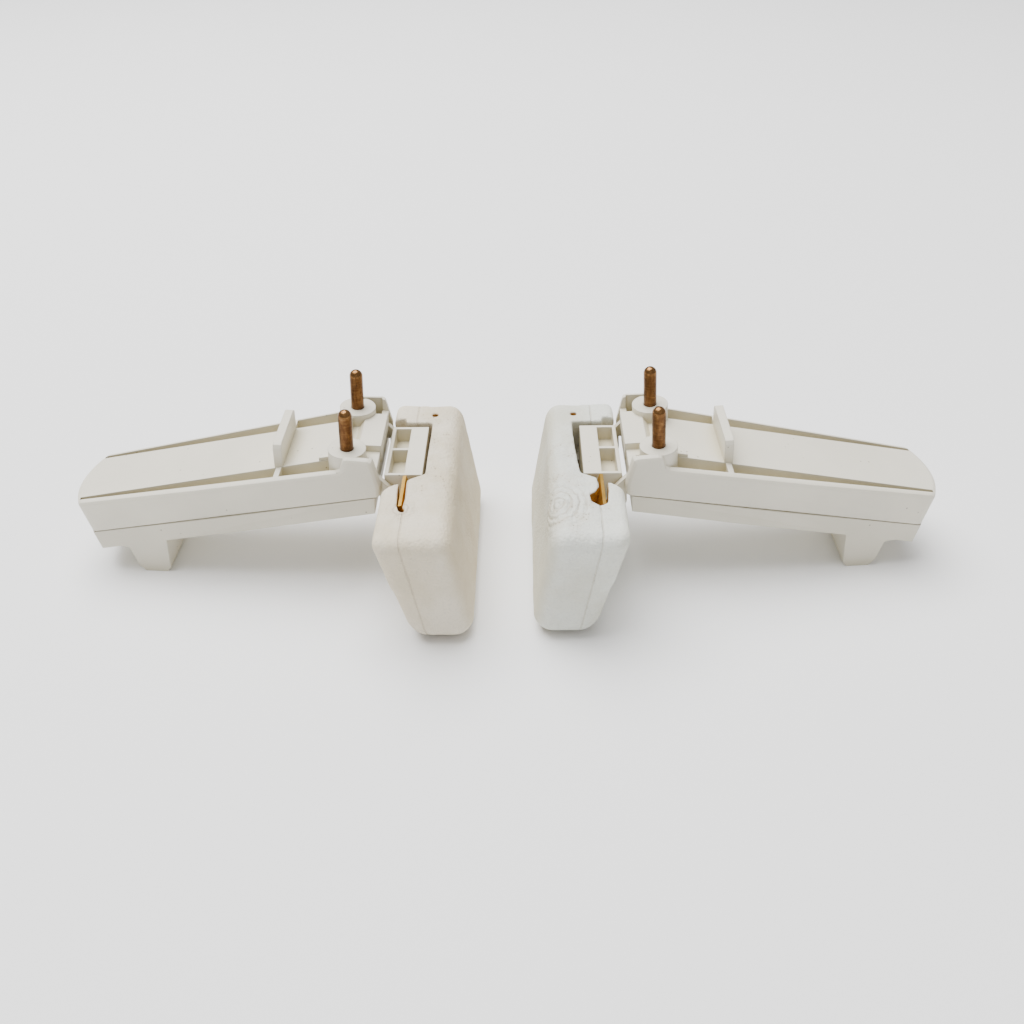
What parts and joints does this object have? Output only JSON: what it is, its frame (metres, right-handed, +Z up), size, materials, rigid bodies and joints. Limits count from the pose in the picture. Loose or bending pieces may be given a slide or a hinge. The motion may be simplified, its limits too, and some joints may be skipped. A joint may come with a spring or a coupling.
{
  "type": "padded temple support arm pair",
  "caption": "Left and right tapered plastic arms, each with two brass guide pins on top, a foot underneath and a hinged foam pad at its inner end.",
  "frame": {"origin": "middle of the pair on the table, under the centre of its bounding box", "axes": "+X from the left arm to the right arm, +Y away from the pads' longer ends, +Z up"},
  "size_m": [0.3168, 0.0856, 0.068],
  "materials": {
    "white_housing_plastic": "warm white, lightly scuffed satin moulding",
    "white_cover_plastic": "warm white satin moulding",
    "aged_brass": "brown tarnished brass with bright domed tips",
    "zinc_plated_steel": "zinc plated",
    "yellow_passivated_steel": "yellow passivated sheet",
    "cream_skinned_foam": "self-skinned soft foam, yellowed",
    "white_skinned_foam": "self-skinned soft foam, cracked skin"
  },
  "bodies": {
    "left_arm": {"left_upper_housing": "white_housing_plastic", "left_lower_cover": "white_cover_plastic", "left_front_guide_pin": "aged_brass", "left_rear_guide_pin": "aged_brass", "left_inner_cover_screw": "zinc_plated_steel", "left_outer_cover_screw": "zinc_plated_steel", "left_hinge_pin": "zinc_plated_steel"},
    "left_pad": {"left_pad_carrier": "white_housing_plastic", "left_hinge_spring": "zinc_plated_steel", "left_pad_insert_plate": "yellow_passivated_steel", "left_front_carrier_screw": "zinc_plated_steel", "left_rear_carrier_screw": "zinc_plated_steel", "left_pad_foam": "cream_skinned_foam"},
    "right_arm": {"right_upper_housing": "white_housing_plastic", "right_lower_cover": "white_cover_plastic", "right_front_guide_pin": "aged_brass", "right_rear_guide_pin": "aged_brass", "right_inner_cover_screw": "zinc_plated_steel", "right_outer_cover_screw": "zinc_plated_steel", "right_hinge_pin": "zinc_plated_steel"},
    "right_pad": {"right_pad_carrier": "white_housing_plastic", "right_hinge_spring": "zinc_plated_steel", "right_pad_insert_plate": "yellow_passivated_steel", "right_front_carrier_screw": "zinc_plated_steel", "right_rear_carrier_screw": "zinc_plated_steel", "right_pad_foam": "white_skinned_foam"}
  },
  "joints": [
    {"name": "left_pad_hinge", "type": "hinge", "parent": "left_arm", "child": "left_pad", "pos_m": [-0.04093, 0.01325, 0.03303], "axis": [0, -1, 0], "range_deg": [-6, 3]},
    {"name": "right_pad_hinge", "type": "hinge", "parent": "right_arm", "child": "right_pad", "pos_m": [0.04093, 0.01325, 0.03303], "axis": [0, 1, 0], "range_deg": [-6, 3]},
    {"name": "right_arm_slide", "type": "slide", "parent": "left_arm", "child": "right_arm", "axis": [1, 0, 0], "range_m": [-0.012, 0.08]}
  ]
}
